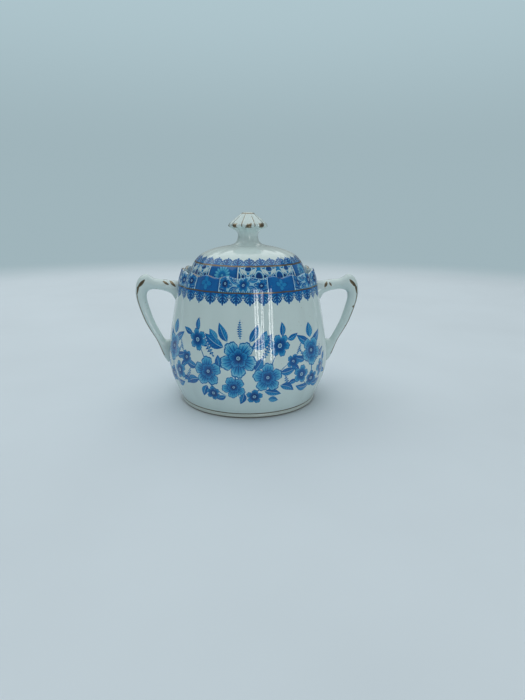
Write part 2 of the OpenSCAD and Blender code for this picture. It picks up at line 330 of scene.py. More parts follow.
def lid_curves(s):
    """The outside of the lid over its crests: its side, and its top up to the knob."""
    seat, rise, r = s.crown_height - s.crown_rise, s.crown_rise * 0.8, s.edge_radius
    shoulder = point(r - 10.4 * MM, seat + rise)
    return ((point(r, seat + MM), point(r - 1.6 * MM, seat + rise * 0.42),
             point(r - 4.2 * MM, seat + rise * 0.82), shoulder),
            (shoulder, point(r - 15 * MM, seat + rise * 1.14),
             point(s.knob_base + 5 * MM, s.crown_height - 0.7 * MM),
             point(s.knob_base, s.crown_height)))


def lid_rows(s):
    """The section of the lid, from the middle of its hollow round its edge to the crown."""
    seat, rise, r = s.crown_height - s.crown_rise, s.crown_rise * 0.8, s.edge_radius
    ceiling, lowest = s.crown_height - s.shell - 0.6 * MM, seat - s.collar_depth
    collar, inside = s.collar_radius, s.collar_radius - s.collar_wall
    hollow = along((point(inside, seat + 3 * MM), point(r - s.shell - 3 * MM, seat + rise * 0.62),
                    point(r - s.shell - 6.4 * MM, seat + rise - s.shell),
                    point(r - 14 * MM, seat + rise - s.shell)), 7)
    rows = [(2 * MM, ceiling, 0, 0), (s.knob_base, ceiling, 0, 0),
            (r - 14 * MM, seat + rise - s.shell, 0, 0)]
    rows += [(p.x, p.y, 0, 0) for p in reversed(hollow)]
    rows += [(inside, lowest + 0.9 * MM, 0, 0), (inside + 0.5 * MM, lowest + 0.05 * MM, 0, 0),
             (collar - 0.9 * MM, lowest + 0.05 * MM, 0, 0),
             (collar - 0.15 * MM, lowest + 0.7 * MM, 0, 0), (collar, lowest + 1.6 * MM, 0, 0),
             (collar, seat - 0.5 * MM, 0, 0), (collar + 0.3 * MM, seat + 0.02 * MM, 0, 0),
             (r - 1.3 * MM, seat + 0.02 * MM, s.flute_depth, 0),
             (r - 0.25 * MM, seat + 0.25 * MM, s.flute_depth, 0)]
    side, top = lid_curves(s)
    for p in along(side, 11) + along(top, 8):
        rows.append((p.x, p.y, s.flute_depth * smooth((p.x - s.knob_base - MM) / (12 * MM)), 0))
    rows += [(s.knob_base, s.crown_height - 0.05 * MM, 0, 0),
             (2 * MM, s.crown_height - 0.05 * MM, 0, 0)]
    return rows


def knob_rows(s):
    """The knob: a flared base, a waist and a cap of lobes with a small flat top."""
    base, neck, cap = s.knob_base, s.knob_neck, s.knob_radius
    rows = [(2 * MM, 0.001, 0, 0), (base, -0.02, 0, 0), (base + 2.2 * MM, -0.015, 0, 0),
            (base + 0.9 * MM, 0.006, 0, 0), (base - 0.4 * MM, 0.022, 0, 0),
            (base - 1.4 * MM, 0.055, 0.05, 0), (neck + 0.9 * MM, 0.11, 0.15, 0),
            (neck + 0.3 * MM, 0.18, 0.25, 0), (neck, 0.26, 0.35, 0),
            (neck + 0.15 * MM, 0.36, 0.35, 0), (neck + 1.2 * MM, 0.45, 0.4, 0.2),
            (cap * 0.8, 0.515, 0.8, 0.4), (cap * 0.96, 0.555, 1, 0.4), (cap, 0.6, 1, 0.4),
            (cap * 0.97, 0.65, 1, 0.3), (cap * 0.8, 0.74, 1, 0.1), (cap * 0.57, 0.845, 1, 0),
            (cap * 0.4, 0.925, 0.8, 0), (cap * 0.28, 0.98, 0.5, 0), (cap * 0.22, 0.993, 0.3, 0),
            (cap * 0.12, 0.995, 0.2, 0)]
    return [(r, s.crown_height + s.knob_height * h, r * s.lobe_depth * deep, -lift * MM)
            for r, h, deep, lift in rows]


# ---- handles --------------------------------------------------------------------


def handle_stations(s, bowl):
    """Points down the inner and the outer line of a handle, with half its breadth at each."""
    middle = bowl.rim_height - s.arm_drop
    low, top = middle - s.thickness / 2, middle + s.thickness / 2
    wall, fillet = bowl_radius(bowl, middle), bowl_radius(bowl, low - s.arm_fillet)
    root, base = bowl_radius(bowl, s.root_height), s.root_height
    elbow, reach = s.reach - s.thickness, s.reach
    lines = (  # inner point, outer point, share of the breadth
        ((fillet - 2.2 * MM, low - s.arm_fillet - 2.2 * MM),
         (wall - 2.2 * MM, top - 0.8 * MM), 1.3),
        ((fillet + 0.1 * MM, low - s.arm_fillet * 0.95), (wall, top - 0.8 * MM), 1.16),
        ((wall + 3.6 * MM, low - s.arm_fillet * 0.36), (wall + 4 * MM, top - 0.7 * MM), 1.04),
        ((wall + 8 * MM, low - 0.3 * MM), (wall + 8 * MM, top - 0.1 * MM), 1),
        ((elbow - 5.6 * MM, low + 0.5 * MM), (elbow - 5.6 * MM, top + 0.2 * MM), 1),
        ((elbow - 3.4 * MM, low + 0.4 * MM), (elbow - 2.9 * MM, top + s.thumb_rise * 0.5), 1.06),
        ((elbow - 1.6 * MM, low - 0.2 * MM), (elbow + 0.2 * MM, top + s.thumb_rise), 1.12),
        ((elbow - 0.4 * MM, low - 1.6 * MM), (reach - 1.9 * MM, top + 0.2 * MM), 1.1),
        ((elbow, low - 4.6 * MM), (reach, middle - 3.8 * MM), 1),
        ((elbow - 0.8 * MM, middle - 12 * MM), (reach - 1.1 * MM, middle - 11.6 * MM), 0.94),
        ((elbow - 3.8 * MM, middle - 22 * MM), (reach - 5.2 * MM, middle - 23.4 * MM), 0.88),
        ((elbow - 8 * MM, middle - 30.6 * MM), (reach - 10.8 * MM, middle - 33 * MM), 0.86),
        ((root + 1.6 * MM, base + 7.9 * MM), (root + 4.9 * MM, base + 2.4 * MM), 0.9),
        ((root - 1.2 * MM, base + 8.4 * MM), (root + 3 * MM, base - 3 * MM), 1),
        ((root - 2.4 * MM, base + 6.8 * MM), (root - 0.2 * MM, base - 7.4 * MM), 0.92))
    return ([point(*inner) for inner, _, _ in lines], [point(*outer) for _, outer, _ in lines],
            [wide * s.breadth / 2 for _, _, wide in lines])


def handle_sections(s, bowl):
    """Even steps down a handle, each with its inner end, outer end and half breadth."""
    lines = handle_stations(s, bowl)
    last = len(lines[0]) - 1
    return [[catmull(line, last * i / HANDLE_STEPS) for line in lines]
            for i in range(HANDLE_STEPS + 1)]


# Half of the outline across a handle, from its outer to its inner edge, as shares of the
# half size. Its widest point is the soft ridge along the face.
RIDGE_OUTLINE = ((1, 0), (0.92, 0.36), (0.7, 0.64), (0.4, 0.85), (0.04, 1),
                 (-0.32, 0.9), (-0.68, 0.7), (-0.93, 0.4), (-1, 0))
RIDGE_CREASE = 0.45
HANDLE_STEPS = 32


def ridged_ring(name):
    """A ring of points with the outline of a handle, open for editing."""
    sides, size = 2 * (len(RIDGE_OUTLINE) - 1), START_RADIUS
    piece = start_ring(name, sides)
    mesh = bmesh.from_edit_mesh(piece.data)
    turns = [count * tau / sides for count in range(len(RIDGE_OUTLINE))]
    pairs = [[v for v in mesh.verts if abs(v.co.x - size * cos(turn)) < size * 0.01]
             for turn in turns]
    for pair, turn, (across, up) in zip(pairs, turns, RIDGE_OUTLINE):
        select(mesh, pair)
        bpy.ops.transform.translate(value=(size * (across - cos(turn)), 0, 0))
        if up:
            bpy.ops.transform.resize(value=(1, up / sin(turn), 1), center_override=(0, 0, 0))
    bpy.ops.mesh.select_all(action="SELECT")
    return piece


def swept(name, sections):
    """A closed piece made by extruding a ridged ring through sections of (inner end, outer
    end, half breadth)."""
    piece = ridged_ring(name)
    mesh = bmesh.from_edit_mesh(piece.data)
    last = point(-START_RADIUS, 0), point(START_RADIUS, 0), START_RADIUS
    ridge = []
    for count, (inner, outer, half) in enumerate(sections):
        if count:
            bpy.ops.mesh.extrude_region_move()
        was, now = last[1] - last[0], outer - inner
        middle = (last[0] + last[1]) / 2
        centre, step = (middle.x, 0, middle.y), (inner + outer) / 2 - middle
        bpy.ops.transform.rotate(value=-atan2(was.y, was.x), orient_axis="Y",
                                 center_override=centre)
        bpy.ops.transform.resize(value=(now.length / was.length, half / last[2], 1),
                                 center_override=centre)
        bpy.ops.transform.rotate(value=atan2(now.y, now.x), orient_axis="Y",
                                 center_override=centre)
        bpy.ops.transform.translate(value=(step.x, 0, step.y))
        ridge += [v for v in mesh.verts if v.select and abs(v.co.y) > half * 0.999]
        last = inner, outer, half
    crest = set(ridge)
    for edge in mesh.edges:
        one, other = edge.verts
        edge.select = one in crest and other in crest and one.co.y * other.co.y > 0
    bpy.ops.transform.edge_crease(value=RIDGE_CREASE)
    bpy.ops.mesh.select_all(action="SELECT")
    bpy.ops.mesh.fill_holes(sides=0)
    bpy.ops.mesh.select_all(action="SELECT")
    bpy.ops.mesh.normals_make_consistent(inside=False)
    bpy.ops.object.mode_set(mode="OBJECT")
    return piece


# ---- shader arithmetic ------------------------------------------------------------


def join(value, slot):
    """Link a wire to an input, or write a plain number into it."""
    if isinstance(value, Wire):
        slot.id_data.links.new(value.socket, slot)
    else:
        slot.default_value = value


class Wire:
    """A number in a node tree. Arithmetic on it adds maths nodes."""

    def __init__(self, socket):
        self.socket = socket

    def calc(self, operation, *values):
        node = self.socket.id_data.nodes.new("ShaderNodeMath")
        node.operation = operation
        for value, slot in zip(values, node.inputs):
            join(value, slot)
        return Wire(node.outputs[0])

    def __add__(self, other):
        return self.calc("ADD", self, other)

    def __radd__(self, other):
        return self.calc("ADD", other, self)

    def __sub__(self, other):
        return self.calc("SUBTRACT", self, other)

    def __rsub__(self, other):
        return self.calc("SUBTRACT", other, self)

    def __mul__(self, other):
        return self.calc("MULTIPLY", self, other)

    def __rmul__(self, other):
        return self.calc("MULTIPLY", other, self)

    def __truediv__(self, other):
        return self.calc("DIVIDE", self, other)

    def __pow__(self, other):
        return self.calc("POWER", self, other)

    def __abs__(self):
        return self.calc("ABSOLUTE", self)

    def root(self):
        return self.calc("SQRT", self)

    def sine(self):
        return self.calc("SINE", self)

    def cosine(self):
        return self.calc("COSINE", self)

    def angle(self, across):
        """Angle of the point (across, self)."""
        return self.calc("ARCTAN2", self, across)

    def least(self, other):
        return self.calc("MINIMUM", self, other)

    def most(self, other):
        return self.calc("MAXIMUM", self, other)

    def wrapped(self, low, high):
        return self.calc("WRAP", self, high, low)

    def step(self, low, high):
        """0 up to low, 1 from high on, eased between; low may be the larger."""
        node = self.socket.id_data.nodes.new("ShaderNodeMapRange")
        node.interpolation_type = "SMOOTHSTEP"
        join(self, node.inputs["Value"])
        join(low, node.inputs["From Min"])
        join(high, node.inputs["From Max"])
        return Wire(node.outputs["Result"])

    def line(self, half, soft=0.35):
        """1 where this is within half of nought."""
        return abs(self).step(half * (1 + soft), half * (1 - soft))


def far(across, up):
    """Length of (across, up)."""
    return (across * across + up * up).root()


def over(ink, top, cover):
    """Lay a layer of ink over another where it covers."""
    return ink + (top - ink) * cover


def paint(layers, base=0.0):
    """Lay layers of (ink, cover) over one another, the first at the bottom."""
    ink = base
    for top, cover in layers:
        ink = over(ink, top, cover)
    return ink


def group_tree(name, inputs, outputs):
    """A shader group with inputs {name: default}; gives its tree, its inputs as wires, and
    the inputs of the node where its outputs leave. Only an output named Color is a colour."""
    tree = bpy.data.node_groups.new(name, "ShaderNodeTree")
    for label, default in inputs.items():
        kind = "NodeSocketVector" if isinstance(default, tuple) else "NodeSocketFloat"
        slot = tree.interface.new_socket(label, in_out="INPUT", socket_type=kind)
        slot.default_value = default
    for label in outputs:
        kind = "NodeSocketColor" if label == "Color" else "NodeSocketFloat"
        tree.interface.new_socket(label, in_out="OUTPUT", socket_type=kind)
    enter, leave = tree.nodes.new("NodeGroupInput"), tree.nodes.new("NodeGroupOutput")
    return tree, {label: Wire(enter.outputs[label]) for label in inputs}, leave.inputs


def use(tree, name, **values):
    """Put a group into a tree; gives its outputs as wires. Underscores stand for spaces."""
    node = tree.nodes.new("ShaderNodeGroup")
    node.node_tree = bpy.data.node_groups[name]
    node.label = name
    for label, value in values.items():
        join(value, node.inputs[label.replace("_", " ")])
    return [Wire(slot) for slot in node.outputs]


def parts_of(tree, vector):
    """The x, y and z of a vector, as wires."""
    node = tree.nodes.new("ShaderNodeSeparateXYZ")
    join(vector, node.inputs[0])
    return [Wire(slot) for slot in node.outputs]


def noise(tree, vector, scale, detail=2.0, rough=0.5):
    """Noise about 0.5 at a scale given per metre of the vector."""
    node = tree.nodes.new("ShaderNodeTexNoise")
    join(vector, node.inputs["Vector"])
    for label, value in (("Scale", scale), ("Detail", detail), ("Roughness", rough)):
        node.inputs[label].default_value = value
    return Wire(node.outputs[0])


def blend(tree, first, second, share):
    """Mix two colours, each a wire or three numbers; share is how much of the second shows."""
    node = tree.nodes.new("ShaderNodeMix")
    node.data_type = "RGBA"
    join(share, node.inputs["Factor"])
    for value, slot in ((first, node.inputs[6]), (second, node.inputs[7])):
        join(value if isinstance(value, Wire) else (*value, 1), slot)
    return Wire(node.outputs[2])


def scaled(tone, share):
    """A colour made lighter or darker."""
    return tuple(channel * share for channel in tone)


def show_camera(tree, lit, seen, share, leave):
    """Let the camera see one shader in place of the other, which lights the object."""
    ray, mix = tree.nodes.new("ShaderNodeLightPath"), tree.nodes.new("ShaderNodeMixShader")
    join(share * Wire(ray.outputs["Is Camera Ray"]), mix.inputs[0])
    tree.links.new(lit.outputs[0], mix.inputs[1])
    tree.links.new(seen.outputs[0], mix.inputs[2])
    tree.links.new(mix.outputs[0], leave.inputs["Surface"])


# ---- printed motifs ---------------------------------------------------------------


def blossom_group():
    """An open flower: lobed petals with veins that fade outward, and a pale eye."""
    tree, i, out = group_tree("Blossom", {
        "Across": 0.0, "Up": 0.0, "Centre Across": 0.0, "Centre Up": 0.0, "Radius": 10.0,
        "Petals": 5.0, "Turn": 0.0, "Tone": 0.6}, ("Ink", "Cover"))
    x = (i["Across"] - i["Centre Across"]) / i["Radius"]
    y = (i["Up"] - i["Centre Up"]) / i["Radius"]
    rho, turn = far(x, y), y.angle(x) + i["Turn"]
    wave = abs((turn * i["Petals"] * 0.5).cosine())
    ruffle = (turn * i["Petals"] * 3).sine() * 0.028 + (turn * i["Petals"] * 7).cosine() * 0.012
    edge = wave ** 0.5 * 0.42 + ruffle + 0.55
    cover = (edge - rho).step(0.0, 0.05)
    near = rho / edge
    veins = (turn * i["Petals"] * 5 + rho * 2).sine().step(0.2, 0.95)
    fine = (turn * i["Petals"] * 11 + rho * 3).sine().step(0.3, 1.0)
    tone = (i["Tone"] + 0.3) - near.step(0.2, 0.92) * 0.62
    tone = tone + veins * (near.step(0.2, 0.5) - near.step(0.6, 0.9)) * 0.45
    tone = tone + fine * near.step(0.5, 0.8) * 0.2
    parting = (wave * rho).line(0.055, 0.6) * near.step(0.25, 0.4)
    outline = (edge - rho).line(0.07, 0.4)
    stamens = (turn * i["Petals"] * 2).sine().step(-0.1, 0.5) * (rho - 0.235).line(0.045)
    ink = paint([(1.0, parting * 0.9), (1.0, outline), (0.08, rho.step(0.22, 0.16)),
                 (0.95, (rho - 0.075).line(0.03)), (0.95, stamens)], tone)
    join(ink.most(0.0), out["Ink"])
    join(cover, out["Cover"])


def leaf_group():
    """A pointed leaf along a bowed midrib; one half darker, with veins. Thin ones are stems."""
    tree, i, out = group_tree("Leaf", {
        "Across": 0.0, "Up": 0.0, "Start Across": 0.0, "Start Up": 0.0, "Length": 10.0,
        "Heading": 0.0, "Width": 0.2, "Bow": 0.0, "Notch": 0.04, "Tone": 0.6}, ("Ink", "Cover"))
    dx, dy = i["Across"] - i["Start Across"], i["Up"] - i["Start Up"]
    cos_h, sin_h = i["Heading"].cosine(), i["Heading"].sine()
    s = (dx * cos_h + dy * sin_h) / i["Length"]
    arch = (s * (1 - s)).most(0.0)
    t = (dy * cos_h - dx * sin_h) / i["Length"] - arch * i["Bow"] * 2
    serration = 1 - ((s * 58).sine() * 0.5 + 0.5) * i["Notch"]
    half = arch * (1.3 - s * 0.6) * i["Width"] * 4 * serration
    cover = (half - abs(t)).step(0.0, 0.02)
    share = abs(t) / i["Width"]
    veins = (s * 42 - share * 9).sine().step(0.0, 0.9)
    tone = i["Tone"] + t.step(-0.01, 0.01) * 0.22 - veins * share.step(0.1, 0.5) * 0.25
    ink = paint([(0.12, t.line(0.012) * s.step(0.95, 0.7) * i["Width"].step(0.05, 0.1)),
                 (1.0, (half - abs(t)).line(0.022, 0.5))], tone)
    join(ink.most(0.0), out["Ink"])
    join(cover, out["Cover"])


def stroke_group():
    """A brush stroke from one point to another. At full Swell it is thickest in its middle,
    at none it is even, so that strokes join end to end."""
    tree, i, out = group_tree("Stroke", {
        "Across": 0.0, "Up": 0.0, "From Across": 0.0, "From Up": 0.0, "To Across": 1.0,
        "To Up": 1.0, "Thickness": 0.4, "Swell": 1.0}, ("Cover",))
    px, py = i["Across"] - i["From Across"], i["Up"] - i["From Up"]
    bx, by = i["To Across"] - i["From Across"], i["To Up"] - i["From Up"]
    share = ((px * bx + py * by) / (bx * bx + by * by)).most(0.0).least(1.0)
    gap = far(px - bx * share, py - by * share)
    half = i["Thickness"] * (1 - i["Swell"] * (0.6 - share * (1 - share) * 2.4))
    join(gap.step(half * 1.25, half * 0.75), out["Cover"])


def lace_group():
    """A hanging lace border: filled arches, and a frond with curled pairs of arms.
    Across is counted from the middle of a frond, Down from the line, both in millimetres."""
    tree, i, out = group_tree("Lace", {"Across": 0.0, "Down": 0.0, "Pitch": 7.2}, ("Ink",))
    q, down = abs(i["Across"]), i["Down"]
    beside = i["Pitch"] * 0.5 - q
    ring = far(beside, down - 0.3)
    ink = paint([(0.66, ring.step(2.6, 2.45)), (0.12, (ring - 1.95).line(0.13)),
                 (0.95, (ring - 2.35).line(0.2)), (0.8, ring.step(1.5, 1.3)),
                 (0.06, far(beside, down - 1.5).step(0.5, 0.3))])
    envelope = 2.5 - (down - 3.0).most(0.0) * 0.65
    ink = over(ink, 0.55, (envelope - q).step(0.0, 0.3) * down.step(6.4, 6.0))
    frond = q.line(0.36) * down.step(6.7, 6.4)
    gaps = 0.0
    for start, reach, drop in ((1.1, 2.7, 2.4), (2.7, 2.05, 1.7), (4.1, 1.25, 0.9)):
        share = q / reach
        line = down - share * share * drop - start
        inside = share.step(1.1, 1.0)
        frond = frond.most(line.line(0.36) * inside).most(
            far(q - reach, down - (start + drop)).step(0.62, 0.42))
        gaps = (line - 0.72).line(0.16) * inside * share.step(0.25, 0.5) + gaps
    ink = paint([(0.1, gaps.least(1.0)), (0.92, frond), (0.9, (down - 0.3).line(0.25))], ink)
    join(ink * down.step(0.05, 0.25), out["Ink"])


def scroll_group():
    """A dense border of flowers, leaves and scrolls with a solid panel at each end.
    Across runs from the middle between two panels, Up from the lower line, both in
    millimetres; Reach is the length to the panel, Panel half the panel's width."""
    tree, i, out = group_tree("Scrollwork", {
        "Across": 0.0, "Up": 0.0, "Height": 8.0, "Reach": 14.0, "Panel": 7.0}, ("Ink",))
    k = i["Height"] / 8
    m, v = abs(i["Across"]) / k, i["Up"] / k
    gap = i["Reach"] / k - m
    beads = far(m.wrapped(-0.6, 0.6), abs(v - 4.0) - 3.3)
    ink = (beads.step(0.45, 0.3) * 0.7).most(0.13)
    for leaf, tone in (((2.2, 5.2, 6.2, 24, 0.16, -0.25), 0.6),
                       ((2.2, 2.8, 6.2, -24, 0.16, 0.25), 0.6),
                       ((13.6, 5.6, 5.6, 160, 0.2, 0.25), 0.7),
                       ((13.6, 2.2, 5.6, 200, 0.2, -0.25), 0.7),
                       ((5.4, 4.0, 3.4, 0, 0.34, 0.0), 0.7)):
        ink = lay_leaf(tree, ink, m, v, leaf, tone)
    for centre, height, size in ((4.6, 6.5, 1.0), (4.6, 1.5, 1.0), (6.4, 4.0, 0.6),
                                 (12.6, 4.0, 1.05)):
        oval = far(m - centre, (v - height) * 1.25)
        ink = paint([(0.88, oval.step(size * 1.05, size * 0.95)),
                     (0.1, (oval - size * 0.55).line(0.12))], ink)
    ink = lay_blossom(tree, ink, m, v, (9.4, 4.0, 2.9, 6, 0.5, 0.8))
    ink = lay_blossom(tree, ink, m, v, (0, 4.0, 3.5, 6, 0.0, 0.72))

    inside = gap.step(0.25, -0.05)
    dx, dy = gap + i["Panel"] / k, v - 4.0
    cross = far(dx, dy)
    arms = abs((dy.angle(dx) * 2).cosine()) ** 0.6 * 2.9 + 0.5
    figure = (arms - cross).step(0.0, 0.5) * cross.step(0.5, 0.8)
    ink = paint([(0.0, gap.line(0.45, 0.2)), (0.74, inside), (0.5, figure * inside),
                 (0.95, (arms - cross).line(0.16) * inside),
                 (0.95, (gap + 0.5).line(0.14))], ink)
    join(ink * v.step(0.1, 0.3), out["Ink"])


def lattice_group():
    """Crossed pale leaves over a blue ground, with dark ovals between them. Across and Up
    are counted from the middle of a crossing, in millimetres."""
    tree, i, out = group_tree("Lattice", {"Across": 0.0, "Up": 0.0}, ("Ink",))
    a, v = abs(i["Across"]), abs(i["Up"])
    ink = 0.5
    for centre, height, wide, tall in ((5.8, 0.0, 1.5, 1.9), (0.0, 3.7, 1.5, 1.05),
                                       (2.75, 0.0, 0.75, 0.75)):
        oval = far((a - centre) / wide, (v - height) / tall)
        ink = paint([(0.08, (oval - 1.35).line(0.16)), (0.95, oval.step(1.05, 0.95))], ink)
    for leaf in ((0.5, 0.5, 5.6, 36, 0.17, 0.2), (1.6, 4.9, 3.4, -8, 0.2, 0.2),
                 (2.6, 0.9, 3.6, 64, 0.16, -0.15)):
        x, y, size, heading, width, bow = leaf
        shape, cover = use(tree, "Leaf", Across=after(ink, a), Up=v, Start_Across=x, Start_Up=y,
                           Length=size, Heading=radians(heading), Width=width, Bow=bow, Tone=0.0)
        ink = paint([(0.9, cover), (0.04, cover * shape.step(0.75, 0.5))], ink)
    middle = far(a, v)
    ink = paint([(0.04, middle.step(0.95, 0.8)), (0.95, middle.step(0.5, 0.38)),
                 (0.05, far(a - 4.1, v - 3.9).step(0.42, 0.3))], ink)
    join(ink, out["Ink"])


def daisy_group():
    """A solid panel with a pale daisy of many narrow petals, in millimetres."""
    tree, i, out = group_tree("Daisy Panel", {"Across": 0.0, "Up": 0.0, "Radius": 4.0},
                              ("Ink",))
    x, y = i["Across"] / i["Radius"], i["Up"] / i["Radius"]
    rho, turn = far(x, y), y.angle(x)
    petals = abs((turn * 8).cosine()) ** 0.7
    body = (petals * 0.34 + 0.66 - rho).step(0.0, 0.08) * rho.step(0.2, 0.28)
    gaps = petals.step(0.25, 0.55)
    ink = paint([(0.2, body * gaps), (0.2, rho.step(0.17, 0.12)),
                 (0.62, rho.step(0.62, 0.3) * body)], 0.74)
    join(ink, out["Ink"])


# ---- decoration of each piece -------------------------------------------------------

BLOSSOMS = (  # across, up, radius, petals, turn, tone; the first lies on top
    (1, 36.5, 5.6, 5, 0.9, 0.66), (1, 36, 10.8, 5, 1.57, 0.46),
    (-16, 28.2, 4.6, 5, 0.2, 0.7), (-16.5, 28, 8.8, 5, 0.9, 0.5),
    (17, 25.8, 4.6, 5, 1.4, 0.7), (17, 25.5, 8.8, 5, 2.2, 0.48),
    (-1.5, 20.3, 3.6, 6, 0.9, 0.7), (-1.5, 20, 7.0, 5, 0.5, 0.5),
    (-23, 44.5, 6.2, 6, 0.3, 0.6), (23.5, 42.5, 6.4, 6, 1.2, 0.6),
    (9.5, 14.6, 4.8, 5, 1.1, 0.66), (-13.5, 15.4, 4.6, 6, 0.4, 0.66),
    (-31.5, 33.5, 4.3, 5, 0.4, 0.66), (32, 33, 4.3, 5, 0.1, 0.66))
LEAVES = (  # start across, start up, length, heading in degrees, width, bow
    (-7, 42, 13, 150, 0.24, 0.16), (8, 42, 13, 32, 0.24, -0.16), (-5, 45, 11, 116, 0.22, 0.1),
    (7, 45, 10, 66, 0.22, -0.1), (-23, 30, 10, 168, 0.22, 0.15), (24, 28, 10, 8, 0.22, -0.15),
    (-22, 23, 11, 206, 0.24, -0.2), (24, 20.5, 10, -28, 0.24, 0.2), (-17, 20, 8, 250, 0.26, -0.1),
    (15, 17.5, 10, -14, 0.24, 0.1), (-27, 47, 7.5, 158, 0.22, 0.1), (28, 45, 7.5, 24, 0.22, -0.1),
    (-9, 31, 7, 100, 0.3, 0.1), (10, 30, 8, 60, 0.3, -0.1), (-23, 49, 7.5, 84, 0.22, 0.1),
    (25, 47, 8, 96, 0.22, -0.1), (4, 17, 8, 252, 0.24, 0.1), (-6, 14.5, 7, 200, 0.24, 0.1))
FERNS = (  # start across, start up, length, heading in degrees, width, bow
    (-12, 36, 15, 118, 0.13, 0.16), (13, 35, 14, 66, 0.13, -0.16), (-28, 29, 12, 236, 0.13, 0.2),
    (27, 27, 12, -62, 0.13, -0.2), (2, 46, 11, 92, 0.14, 0.08), (-34, 36, 8, 112, 0.15, 0.1),
    (34, 36, 8, 64, 0.15, -0.1))
STEMS = (  # start across, start up, length, heading in degrees, bow
    (2, 11, 26, 95, 0.1), (-4, 14, 22, 140, 0.16), (4, 13, 20, 44, -0.14),
    (-17, 30, 16, 115, -0.12), (18, 28, 17, 66, 0.12), (-22, 28, 11, 150, -0.2),
    (22, 26, 12, 36, 0.2))
BUDS = (  # start across, start up, length, heading in degrees, width, bow
    (-10.5, 45.5, 7.5, 132, 0.3, 0.1), (14, 44.5, 6.5, 74, 0.32, 0.1),
    (17, 12.5, 6.0, -14, 0.34, 0.1))


def after(ink, place):
    """A place that is known only once the ink below it is. Rendering then works out one
    motif at a time, which keeps a print of many motifs within its memory."""
    return place + ink * 1e-7 if isinstance(ink, Wire) else place


def lay_leaf(tree, ink, across, up, leaf, tone, notch=0.04):
    x, y, size, heading, width, bow = leaf
    return over(ink, *use(tree, "Leaf", Across=after(ink, across), Up=up, Start_Across=x,
                          Start_Up=y, Length=size, Heading=radians(heading), Width=width,
                          Bow=bow, Notch=notch, Tone=tone))


def lay_blossom(tree, ink, across, up, blossom):
    x, y, size, petals, turn, tone = blossom
    return over(ink, *use(tree, "Blossom", Across=after(ink, across), Up=up, Centre_Across=x,
                          Centre_Up=y, Radius=size, Petals=petals, Turn=turn, Tone=tone))


def repeated(turn, step):
    """An angle counted from the middle of the nearest of its repeats."""
    return turn.wrapped(-step / 2, step / 2)


def around(tree, vector):
    """Radius, angle from the front and height of a place, in millimetres and radians."""
    x, y, z = (w * TO_MM for w in parts_of(tree, vector))
    return far(x, y), x.angle(y * -1), z


def facing(tree, vector, upward=0.0):
    """1 on the outside of a turned piece, and 0 on its hollow side. With upward, what
    faces up counts as outside too."""
    x, y, _ = parts_of(tree, vector)
    normal = Wire(tree.nodes.new("ShaderNodeNewGeometry").outputs["Normal"])
    across, along_y, up = parts_of(tree, normal)
    return ((across * x + along_y * y) / far(x, y) + up * upward).step(0.0, 0.2)


def bouquet_group():
    """A spray of garden flowers tied low, as tall as the side of the bowl."""
    tree, i, out = group_tree("Bouquet", {"Across": 0.0, "Up": 0.0}, ("Ink",))
    across, up = i["Across"], i["Up"]
    ink = 0.0
    for x, y, size, heading, bow in STEMS:
        ink = lay_leaf(tree, ink, across, up, (x, y, size, heading, 0.022, bow), 0.8)
    for fern in FERNS:
        ink = lay_leaf(tree, ink, across, up, fern, 0.6, 0.75)
    for leaf in LEAVES:
        ink = lay_leaf(tree, ink, across, up, leaf, 0.58)
    for bud in BUDS:
        ink = lay_leaf(tree, ink, across, up, bud, 0.42)
    for blossom in reversed(BLOSSOMS):
        ink = lay_blossom(tree, ink, across, up, blossom)
    join(ink, out["Ink"])


def sprig_group():
    """A small upright sprig, alike on both sides of its stem."""
    tree, i, out = group_tree("Sprig", {"Across": 0.0, "Up": 0.0}, ("Ink",))
    across, up = i["Across"], i["Up"]
    side = abs(across)
    ink = lay_leaf(tree, 0.0, across, up, (0, 14, 32, 90, 0.016, 0.03), 0.85)
    ink = lay_leaf(tree, ink, side, up, (2, 30, 13, 52, 0.13, -0.16), 0.6, 0.75)
    ink = lay_leaf(tree, ink, side, up, (0.3, 16, 14, 44, 0.02, -0.2), 0.85)
    for leaf, tone in (((0.5, 17, 12, 8, 0.2, -0.22), 0.55), ((11, 28, 7, 48, 0.24, -0.15), 0.6),
                       ((1, 42, 11, 28, 0.22, -0.2), 0.55), ((6, 33, 9, 20, 0.22, -0.15), 0.6),
                       ((12, 22, 6, -20, 0.26, 0.2), 0.6)):
        ink = lay_leaf(tree, ink, side, up, leaf, tone)
    ink = lay_leaf(tree, ink, across, up, (0, 44, 8.5, 90, 0.32, 0), 0.42)
    ink = lay_blossom(tree, ink, side, up, (9.2, 25, 5.6, 5, 0.7, 0.55))
    for blossom in ((0, 20.5, 5.0, 6, 0.4, 0.62), (0, 36.5, 8.6, 5, 1.57, 0.48),
                    (0, 36.8, 4.6, 5, 0.9, 0.68)):
        ink = lay_blossom(tree, ink, across, up, blossom)
    join(ink, out["Ink"])


BOWL_BORDER_HEIGHT = 8.2
FOOT_LINES = 0.4, 2.7


